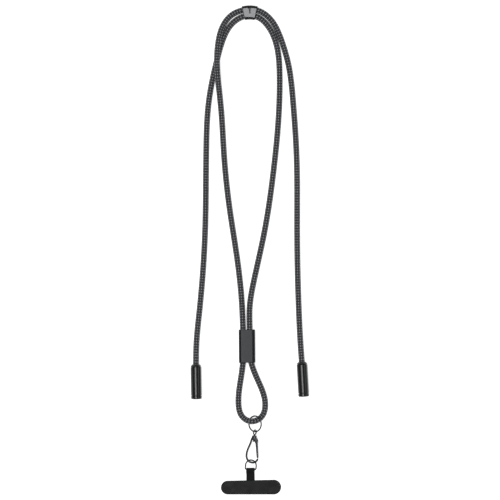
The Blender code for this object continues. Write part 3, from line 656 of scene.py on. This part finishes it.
plug_finish = gloss_finish("satin_plug_moulding", "#0c0c0d", 0.34)
cover_finish = gloss_finish("gloss_black_moulding", "#060607", 0.17)
tip_finish = brushed_finish("drawn_steel_tip", "#9b9c9e", "#c4c5c7", 0.24, 6000.0)
for side, plug_x, plug_y, tilt_deg in PLUG_ENDS:
    tilt = math.radians(tilt_deg)
    back = np.array((-math.sin(tilt), math.cos(tilt), 0.0))
    top = np.array((plug_x, plug_y, PLUG_HEIGHT))
    plug_shell = turned(rounded_profile(PLUG_PROFILE, PLUG_ROUNDING) * 0.001, top, back)
    plug = make_piece(
        f"{side}_plug_turned", plug_finish, "cable_and_ring", "plug_black", f"{side}_plug", plug_shell
    )
    tip_path = top + back * np.linspace(*TIP_REACH, TIP_ROWS)[:, None]
    tip_share = np.minimum(1.0, 0.9 + 0.1 * np.sqrt(np.clip(np.linspace(6.0, 0.0, TIP_ROWS), 0, 1)))
    tip_grid = swept(tip_path, round_section(*TIP_SIZE, count=64, power=3.2), (0.0, 0.0, 1.0), tip_share)
    tip = make_piece(
        f"{side}_plug_tip", tip_finish, "cable_and_ring", "ring_gunmetal", None, shell(tip_grid)
    )
    cover_shell = turned(rounded_profile(COVER_PROFILE, COVER_ROUNDING) * 0.001, top, back)
    make_piece(
        f"{side}_cover_barrel",
        cover_finish,
        f"{side}_cover_body",
        "cover_gloss_black",
        f"{side}_cover",
        cover_shell,
    )


# Loop ring. A round spring wire bent to a ring and plated in polished gunmetal. It hangs on the cable's
# bottom loop: its left side lies on the table under the cable, and its right side rises over it.
RING_CENTRE = (0.0052, -0.1734)
RING_RADIUS = 0.0078
RING_WIRE_D = 0.0014
RING_TILT = math.radians(38.0)


def wire_loop(centre, across, along, radius, wire_d, count, sides=20):
    """Circle of the wire carried round a ring: centre + radius * (across cos a + along sin a)."""
    angle = np.linspace(0, 2 * math.pi, count, endpoint=False)[:, None]
    path = centre + radius * (np.cos(angle) * across + np.sin(angle) * along)
    grid = swept(path, round_section(wire_d, wire_d, sides), np.cross(across, along), loop=True)
    return shell(grid, loop=True)


ring_height = RING_RADIUS * math.sin(RING_TILT) + RING_WIRE_D / 2
ring_across = np.array((math.cos(RING_TILT), 0.0, math.sin(RING_TILT)))
ring_along = np.array((0.0, 1.0, 0.0))
ring_centre = np.array((*RING_CENTRE, ring_height))
ring_shell = wire_loop(ring_centre, ring_across, ring_along, RING_RADIUS, RING_WIRE_D, 120)
ring_finish = brushed_finish("polished_gunmetal_wire", "#38393a", "#555658", 0.2, 5000.0)
make_piece("ring_wire", ring_finish, "cable_and_ring", "ring_gunmetal", "loop_ring", ring_shell)


# Swivel eye. A die-cast eye round the ring whose shank turns in the hook's block and is riveted over at
# its end. Eye, shank and head are one piece of zinc in the hook's own gunmetal plating.
EYE_CENTRE = np.array((0.0050, -0.1818, ring_height))
HOOK_LOW_END = np.array((0.0021, -0.2119, 0.0027))
HOOK_ROLL = math.radians(-12.0)
EYE_RADIUS = 0.0023
EYE_WIRE_D = 0.0012
# Shank and riveted head as (radius, height) in millimetres, from the eye down.
SHANK_PROFILE = [(0.0, -1.9), (0.85, -1.9), (1.05, -2.4), (0.8, -3.0), (0.8, -8.7), (1.15, -8.75)]
SHANK_PROFILE += [(1.15, -9.3), (0.7, -9.65), (0.0, -9.7)]

hook_up = unit(EYE_CENTRE - HOOK_LOW_END)
eye_face = unit(ring_across - ring_across.dot(hook_up) * hook_up)
eye_side = np.cross(hook_up, eye_face)
eye_loop = wire_loop(EYE_CENTRE, eye_side, hook_up, EYE_RADIUS, EYE_WIRE_D, 64)
shank_shell = turned(rounded_profile(SHANK_PROFILE, 0.15) * 0.001, EYE_CENTRE, hook_up, 40)
hook_finish = brushed_finish("die_cast_gunmetal", "#242526", "#3b3c3e", 0.24, 4200.0)
make_piece(
    "eye_and_shank", hook_finish, "cable_and_ring", "hook_gunmetal", "swivel_eye", eye_loop, shank_shell
)


# Snap hook. A pear-shaped hook cast in zinc: a wedge that the shank turns in, one round arm that runs
# down the left side and up to the nose, and two ears with a riveted pin for the gate.
HOOK_WIRE_D = 0.0019
HOOK_ARM = np.array((
    (-2.3, -6.6, 0.0),
    (-2.5, -7.4, 0.0),
    (-2.9, -9.6, 0.0),
    (-3.7, -12.6, 0.0),
    (-5.4, -17.8, 0.0),
    (-6.2, -22.0, 0.0),
    (-6.15, -25.0, 0.0),
    (-5.1, -27.9, 0.0),
    (-3.1, -29.9, 0.0),
    (-0.6, -30.7, 0.0),
    (2.0, -30.4, 0.0),
    (4.0, -29.1, 0.0),
    (5.2, -27.4, 0.0),
    (5.5, -26.0, 0.0),
)) * 0.001
GATE_PIVOT = (2.75, -9.5)

level_face = unit(np.array((0.0, 0.0, 1.0)) - hook_up[2] * hook_up)
level_side = np.cross(hook_up, level_face)
hook_face = level_face * math.cos(HOOK_ROLL) + level_side * math.sin(HOOK_ROLL)
hook_side = np.cross(hook_up, hook_face)
hook_axes = np.array((hook_side, hook_up, hook_face))


def on_hook(local):
    """Places in the hook's own frame, x across, y up its axis, z out of its face, turned and moved to
    the eye.
    """
    return EYE_CENTRE + local @ hook_axes


def plate_shell(place, ends, radii, thickness, edge, columns=64, groove=None, middle=0.0, sink=None):
    """A flat piece between two round ends, as rows of shrinking copies of its outline.

    A row's point is end centre + (radius - inset) * outward direction, at a height that rounds off
    at both faces. The outward direction of the straight sides is square to the common tangent of the
    two circles.
    """
    a, b = np.array(ends[0], float), np.array(ends[1], float)
    gap = np.linalg.norm(b - a)
    line = math.atan2(*(b - a)[::-1]) if gap > 0 else 0.0
    flare = math.asin((radii[1] - radii[0]) / gap) if gap > 0 else 0.0
    half = columns // 2
    right = np.linspace(-math.pi / 2 - flare, math.pi / 2 + flare, half) + line
    left = np.linspace(math.pi / 2 + flare, 3 * math.pi / 2 - flare, half) + line
    angle = np.concatenate([right, left])
    centre = np.concatenate([np.repeat([b], half, axis=0), np.repeat([a], half, axis=0)])
    radius = np.concatenate([np.full(half, radii[1]), np.full(half, radii[0])])
    if gap > 0:
        side = max(2, int(columns * gap / 6 / sum(radii)))
        t = np.linspace(0, 1, side + 2)[1:-1]
        top_line, low_line = (1 - t)[:, None] * b + t[:, None] * a, (1 - t)[:, None] * a + t[:, None] * b
        top_radii, low_radii = (1 - t) * radii[1] + t * radii[0], (1 - t) * radii[0] + t * radii[1]
        centre = np.concatenate([centre[:half], top_line, centre[half:], low_line])
        radius = np.concatenate([radius[:half], top_radii, radius[half:], low_radii])
        angle = np.concatenate([right, np.full(side, right[-1]), left, np.full(side, left[-1])])
    face_rows, edge_rows, wall_rows = 13, 6, 5
    quarter = np.radians(np.linspace(0, 90, edge_rows))
    inset = np.concatenate([np.full(face_rows, edge), edge * (1 - np.sin(quarter))])
    height = np.concatenate([np.zeros(face_rows), edge * (1 - np.cos(quarter))]) - thickness / 2
    flat = np.concatenate([1 - np.linspace(0, 1, face_rows + 1)[:-1], np.zeros(edge_rows)])
    wall = np.linspace(-1, 1, wall_rows + 2)[1:-1] * (thickness / 2 - edge)
    inset = np.concatenate([inset, np.zeros(wall_rows), inset[::-1]])
    height = np.concatenate([height, wall, -height[::-1]])
    flat = np.concatenate([flat, np.zeros(wall_rows), flat[::-1]])
    rest = np.maximum(radius[None] - edge, 0.0)
    reach = np.where(flat[:, None] > 0, rest * (1 - flat[:, None]), radius[None] - inset[:, None])
    level = np.broadcast_to(height[:, None], reach.shape).copy()
    if groove is not None:
        depth, from_edge, wide = groove
        on_top = height[:, None] > thickness / 2 - 1e-7
        level -= depth * (np.exp(-(((radius[None] - reach - from_edge) / wide) ** 2)) * on_top)
    direction = np.stack([np.cos(angle), np.sin(angle)], axis=-1)
    flat_place = centre[None] + reach[..., None] * direction[None]
    if sink is not None:
        level = sink(flat_place, level)
    grid = place(np.concatenate([flat_place, level[..., None] + middle], axis=-1))
    return shell(grid, capped=False)


def on_hook_mm(local):
    """The same for places in millimetres."""
    return on_hook(local * 0.001)


arm_line = smooth_line(HOOK_ARM, 0.00025, keep_level=False)
arm_left = (chord_lengths(arm_line)[-1] - chord_lengths(arm_line)) / (HOOK_WIRE_D / 2)
arm_share = np.sqrt(np.clip(1 - (1 - np.clip(arm_left, 0, 1)) ** 2, 0.0004, 1))
arm_section = round_section(HOOK_WIRE_D, HOOK_WIRE_D * 1.02, count=24, power=2.3)
arm_grid = swept(arm_line, arm_section, (0.0, 0.0, 1.0), arm_share)
arm_shell = shell(on_hook(arm_grid))
# The block's rows in millimetres: place down the hook's axis, left side, right side and depth.
block_rows = np.array((
    (-3.35, -1.55, 1.55, 3.0),
    (-3.42, -1.95, 1.95, 3.8),
    (-3.65, -2.2, 2.2, 4.4),
    (-4.2, -2.3, 2.3, 4.6),
    (-5.4, -2.55, 2.5, 4.6),
    (-6.6, -2.9, 2.85, 4.6),
    (-7.4, -3.2, 3.1, 4.6),
    (-7.75, -3.25, 3.15, 4.4),
    (-7.93, -3.1, 3.0, 3.9),
    (-7.97, -2.7, 2.6, 3.2),
))
block_shape = round_section(1.0, 1.0, 64, 3.6)
block_wide = (block_rows[:, 2] - block_rows[:, 1])[:, None] * block_shape[None, :, 0]
block_wide += (block_rows[:, 2] + block_rows[:, 1])[:, None] / 2
block_deep = block_rows[:, 3, None] * block_shape[None, :, 1]
block_down = np.broadcast_to(block_rows[:, :1], block_wide.shape)
block_shell = shell(on_hook_mm(np.stack([block_wide, block_down, block_deep], axis=-1)))
ear_ends, pin_ends = ((2.0, -7.0), GATE_PIVOT), (GATE_PIVOT, GATE_PIVOT)
ears = [
    plate_shell(on_hook_mm, ear_ends, (1.25, 1.35), thickness=0.95, edge=0.25, middle=z)
    for z in (-1.825, 1.825)
]
rivets = [
    plate_shell(on_hook_mm, pin_ends, (0.75, 0.75), thickness=0.5, edge=0.22, columns=40, middle=z)
    for z in (-2.3, 2.3)
]
pin_shell = plate_shell(on_hook_mm, pin_ends, (0.45, 0.45), thickness=4.0, edge=0.05, columns=32)
hook_shells = (arm_shell, block_shell, *ears, *rivets, pin_shell)
make_piece("hook_casting", hook_finish, "hook", "hook_gunmetal", "hook_body", *hook_shells)


# Gate. A flat lever that turns on the pin between the ears and closes against the inside of the nose. A
# spring in the knuckle pushes it shut; it is cast and plated as the hook is.
GATE_TIP = (5.28, -24.7)
GATE_RADII = (1.2, 0.9)

gate_shell = plate_shell(on_hook_mm, (GATE_PIVOT, GATE_TIP), GATE_RADII, thickness=2.1, edge=0.4)
gate_finish = brushed_finish("polished_gate_plating", "#2a2b2c", "#454648", 0.2, 4200.0)
make_piece("gate_lever", gate_finish, "gate", "hook_gunmetal", "hook_gate", gate_shell)


# D-ring. Round wire bent to a D and butt-welded in its bar, plated as the hook is. The hook holds it by
# its round top, and the strap is folded round its straight bar.
D_BAR_CENTRE = np.array((0.00075, -0.2189, 0.00305))
D_TILT = math.radians(16.0)
D_TURN = math.radians(-4.0)
D_HALF_WIDTH = 0.0056
D_SIDE = 0.0036
D_CORNER = 0.0010
D_WIRE_D = 0.0013


def d_line(count):
    """Even points on the D: bar, two round corners, upright sides and a half circle."""
    x, r = D_HALF_WIDTH, D_CORNER
    turns = [np.radians(np.linspace(*span)) for span in ((-90, 0, 12), (0, 180, 48), (180, 270, 12))]
    centres, radii = ((x - r, r), (0.0, D_SIDE), (-x + r, r)), (r, x, r)
    parts = [
        np.array(centre) + radius * np.stack([np.cos(turn), np.sin(turn)], axis=1)
        for centre, radius, turn in zip(centres, radii, turns)
    ]
    outline = np.vstack([*parts, parts[0][:1]])
    length = chord_lengths(outline)
    wanted = np.linspace(0, length[-1], count, endpoint=False)
    columns = [np.interp(wanted, length, outline[:, k]) for k in (0, 1)]
    return np.stack([*columns, np.zeros(count)], axis=1)


turn_c, turn_s = math.cos(D_TURN), math.sin(D_TURN)
tilt_c, tilt_s = math.cos(D_TILT), math.sin(D_TILT)
turn_z = np.array([[turn_c, -turn_s, 0], [turn_s, turn_c, 0], [0, 0, 1]])
tilt_y = np.array([[tilt_c, 0, tilt_s], [0, 1, 0], [-tilt_s, 0, tilt_c]])
d_grid = swept(d_line(150), round_section(D_WIRE_D, D_WIRE_D, 20), (0.0, 0.0, 1.0), loop=True)
d_shell = shell(D_BAR_CENTRE + d_grid @ (tilt_y @ turn_z).T, loop=True)
make_piece("d_ring_wire", hook_finish, "hook", "hook_gunmetal", "d_ring", d_shell)


# Tab strap. Black polyester webbing 8 mm wide, folded round the D-ring's bar and laid double. Both ends
# lie in a recess under the pad, where they are bonded.
STRAP_WIDTH = 0.0084
STRAP_LAYER = 0.00056
STRAP_CENTRE_X = 0.0007
STRAP_TAIL = 0.0176
STRAP_MERGE = 0.006
STRAP_MIDDLE = 0.00036
STRAP_PLY_GAP = 0.00003
STRAP_BAR_GAP = 0.0002
WARP_STEP_MM = 0.7
WEFT_STEP_MM = 0.5


def strap_line():
    """Side view, y towards the hook and z up from the bar: in along the table, round the bar and back
    on top.
    """
    low = -D_BAR_CENTRE[2] + STRAP_MIDDLE
    over = low + STRAP_LAYER + STRAP_PLY_GAP
    bend = np.radians(np.linspace(-112, 92, 9))
    radius = D_WIRE_D / 2 + STRAP_BAR_GAP + STRAP_LAYER / 2
    round_bar = np.stack([np.zeros(len(bend)), radius * np.cos(bend), radius * np.sin(bend)], axis=1)
    start = [(0, -STRAP_TAIL, low), (0, -0.0120, low), (0, -0.0085, low), (0, -STRAP_MERGE, low + 0.00005)]
    start += [(0, -0.0030, low + 0.0008)]
    back = [(0, -0.0024, over + 0.0018), (0, -0.0045, over + 0.0005), (0, -0.0068, over + 0.00003)]
    back += [(0, -0.0085, over), (0, -0.0120, over), (0, -STRAP_TAIL, over)]
    return smooth_line(np.vstack([start, round_bar, back]), 0.00025, keep_level=False)


def strap_shell():
    """Flat section carried along the side view, leaning with the bar near it and level at the pad."""
    line = strap_line()
    grid = swept(line, round_section(STRAP_LAYER, STRAP_WIDTH, count=40, power=5.0), (1.0, 0.0, 0.0))
    share = np.clip((grid[..., 1] + STRAP_MERGE) / STRAP_MERGE, 0, 1)
    lean = D_TILT * share**2 * (3 - 2 * share)
    x = grid[..., 0] * np.cos(lean) + grid[..., 2] * np.sin(lean)
    z = -grid[..., 0] * np.sin(lean) + grid[..., 2] * np.cos(lean)
    placed = np.stack([x + STRAP_CENTRE_X, grid[..., 1] + D_BAR_CENTRE[1], z + D_BAR_CENTRE[2]], axis=-1)
    around = np.concatenate([grid[0, :, 0], grid[0, :1, 0]]) / 0.001
    u, v = np.meshgrid(around, chord_lengths(line) / 0.001)
    return shell(placed, np.stack([u, v], axis=-1))


def webbing_finish():
    """Plain weave in millimetres: warp cords 0.7 mm apart crossed by wefts 0.5 mm apart, half a step
    out in turn.
    """
    material, tree, shader = new_finish("black_polyester_webbing", Roughness=0.85, Specular_IOR_Level=0.25)
    place = add(tree, "ShaderNodeUVMap", uv_map="yarn")
    split = tree.nodes.new("ShaderNodeSeparateXYZ")
    tree.links.new(place, split.inputs[0])
    warp = maths(tree, "MULTIPLY", split.outputs[0], math.pi / WARP_STEP_MM)
    weft = maths(tree, "MULTIPLY", split.outputs[1], math.pi / WEFT_STEP_MM)
    warp_wave, weft_wave = maths(tree, "SINE", warp), maths(tree, "SINE", weft)
    weave = maths(tree, "ABSOLUTE", maths(tree, "MULTIPLY", warp_wave, weft_wave))
    fuzz = add(tree, "ShaderNodeTexNoise", {"Scale": 2500.0, "Detail": 3.0})
    # Painted shade: the weave goes to #080809 in the gaps between warp and weft cords and to #161617 on
    # their crowns.
    painted_weave_shade = blend_colours(tree, ramp(tree, weave, 0.0, 0.8), linear("#080809"), linear("#161617"))
    colour = blend_colours(tree, ramp(tree, fuzz, 0.5, 0.75, 0.0, 0.25), painted_weave_shade, linear("#242426"))
    tree.links.new(colour, shader.inputs["Base Color"])
    relief(tree, shader, maths(tree, "ADD", weave, maths(tree, "MULTIPLY", fuzz, 0.3)), 0.00015, 0.8)
    return material


make_piece("strap_webbing", webbing_finish(), "hook", "black_webbing", "tab_strap", strap_shell())


# Tether pad. A thin flexible tab with round ends, skived to a soft edge all round, in matte black. It
# lies between a phone and its case; a pressed line runs along its rim, and its underside is relieved
# for the strap's tail.
PAD_ENDS = ((-22.1, -237.4), (23.9, -236.9))
PAD_RADII = (6.8, 7.3)
PAD_THICKNESS = 2.2
PAD_RIM_LINE = (0.12, 1.1, 0.25)
PAD_RECESS_MIDDLE = 0.7
PAD_RECESS_HALF = 4.5
PAD_RECESS_FROM = -236.9
PAD_RECESS_DEPTH = 0.4


def pad_relief(flat_place, level):
    """Lifts the underside over the strap's tail: inside the recess, no point is lower than its depth
    says.
    """
    near = np.abs(flat_place[..., 0] - PAD_RECESS_MIDDLE) < PAD_RECESS_HALF
    inside = near & (flat_place[..., 1] > PAD_RECESS_FROM)
    return np.where(inside, np.maximum(level, PAD_RECESS_DEPTH), level)


def pad_place(local):
    """Millimetres to metres: the pad lies where its ends say."""
    return local * 0.001


def pad_finish():
    """Matte elastomer: leather-like grain cells 0.5 mm wide, faint smears and lighter specks; the pressed
    rim is a groove in the shape.
    """
    material, tree, shader = new_finish("matte_black_elastomer", Specular_IOR_Level=0.25)
    place = tree.nodes.new("ShaderNodeTexCoord").outputs["Object"]
    cells = add(tree, "ShaderNodeTexVoronoi", {"Vector": place, "Scale": 2000.0})
    smear = add(tree, "ShaderNodeTexNoise", {"Vector": place, "Scale": 180.0, "Detail": 4.0})
    grain = add(tree, "ShaderNodeTexNoise", {"Vector": place, "Scale": 3500.0, "Detail": 2.0})
    colour = blend_colours(tree, ramp(tree, smear, 0.3, 0.7), linear("#0a0a0b"), linear("#101011"))
    speck = blend_colours(tree, ramp(tree, grain, 0.55, 0.8, 0.0, 0.5), colour, linear("#1a1a1b"))
    tree.links.new(speck, shader.inputs["Base Color"])
    tree.links.new(ramp(tree, smear, 0.3, 0.7, 0.55, 0.72), shader.inputs["Roughness"])
    relief(tree, shader, maths(tree, "ADD", cells, maths(tree, "MULTIPLY", grain, 0.4)), 0.00004, 0.6)
    return material


pad_shell = plate_shell(
    pad_place,
    PAD_ENDS,
    PAD_RADII,
    PAD_THICKNESS,
    edge=0.5,
    columns=240,
    groove=PAD_RIM_LINE,
    middle=PAD_THICKNESS / 2,
    sink=pad_relief,
)
make_piece("pad_tab", pad_finish(), "hook", "matte_black_rubber", "tether_pad", pad_shell)


# Table and light. A pale light table under the lanyard, one long soft box just left of the camera, a
# weaker one to the right, and a dim even room.
table_size = 12.0
table_drop = 0.0003
table_mesh = bpy.data.meshes.new("pale_table")
table_corners = np.array([(-1, -1, 0), (1, -1, 0), (1, 1, 0), (-1, 1, 0)]) * table_size / 2
table_mesh.from_pydata(table_corners.tolist(), [], [(0, 1, 2, 3)])
table_finish = new_finish(
    "pale_light_table",
    Base_Color=linear("#f6f6f6"),
    Roughness=0.9,
    Emission_Color=(1.0, 1.0, 1.0, 1.0),
    Emission_Strength=0.55,
)[0]
table_mesh.materials.append(table_finish)
table = bpy.data.objects.new("pale_table", table_mesh)
table.location = (0.0, 0.0, -table_drop)
bpy.context.scene.collection.objects.link(table)


def soft_light(name, place, size, watts):
    """A rectangular soft box that faces the middle of the table: away is the unit vector from there to
    it.
    """
    light = bpy.data.lights.new(name, "AREA")
    light.shape = "RECTANGLE"
    light.size, light.size_y = size
    light.energy = watts
    holder = bpy.data.objects.new(name, light)
    away = unit(np.array(place))
    right = unit(np.cross((0.0, 1.0, 0.0), away))
    upward = np.cross(away, right)
    matrix = np.eye(4)
    matrix[:3, 0], matrix[:3, 1], matrix[:3, 2], matrix[:3, 3] = right, upward, away, place
    holder.matrix_world = matrix.T.tolist()
    bpy.context.scene.collection.objects.link(holder)


soft_light("long_soft_box", (-0.62, 0.0, 3.4), (1.5, 3.2), 90.0)
soft_light("right_soft_box", (2.6, 0.4, 1.9), (0.8, 2.4), 8.0)
room = bpy.data.worlds.new("dim_room")
room.use_nodes = True
room_light = room.node_tree.nodes["Background"].inputs
room_light["Color"].default_value = (0.95, 0.97, 1.0, 1.0)
room_light["Strength"].default_value = 0.3
bpy.context.scene.world = room
bpy.context.scene.view_settings.view_transform = "Standard"
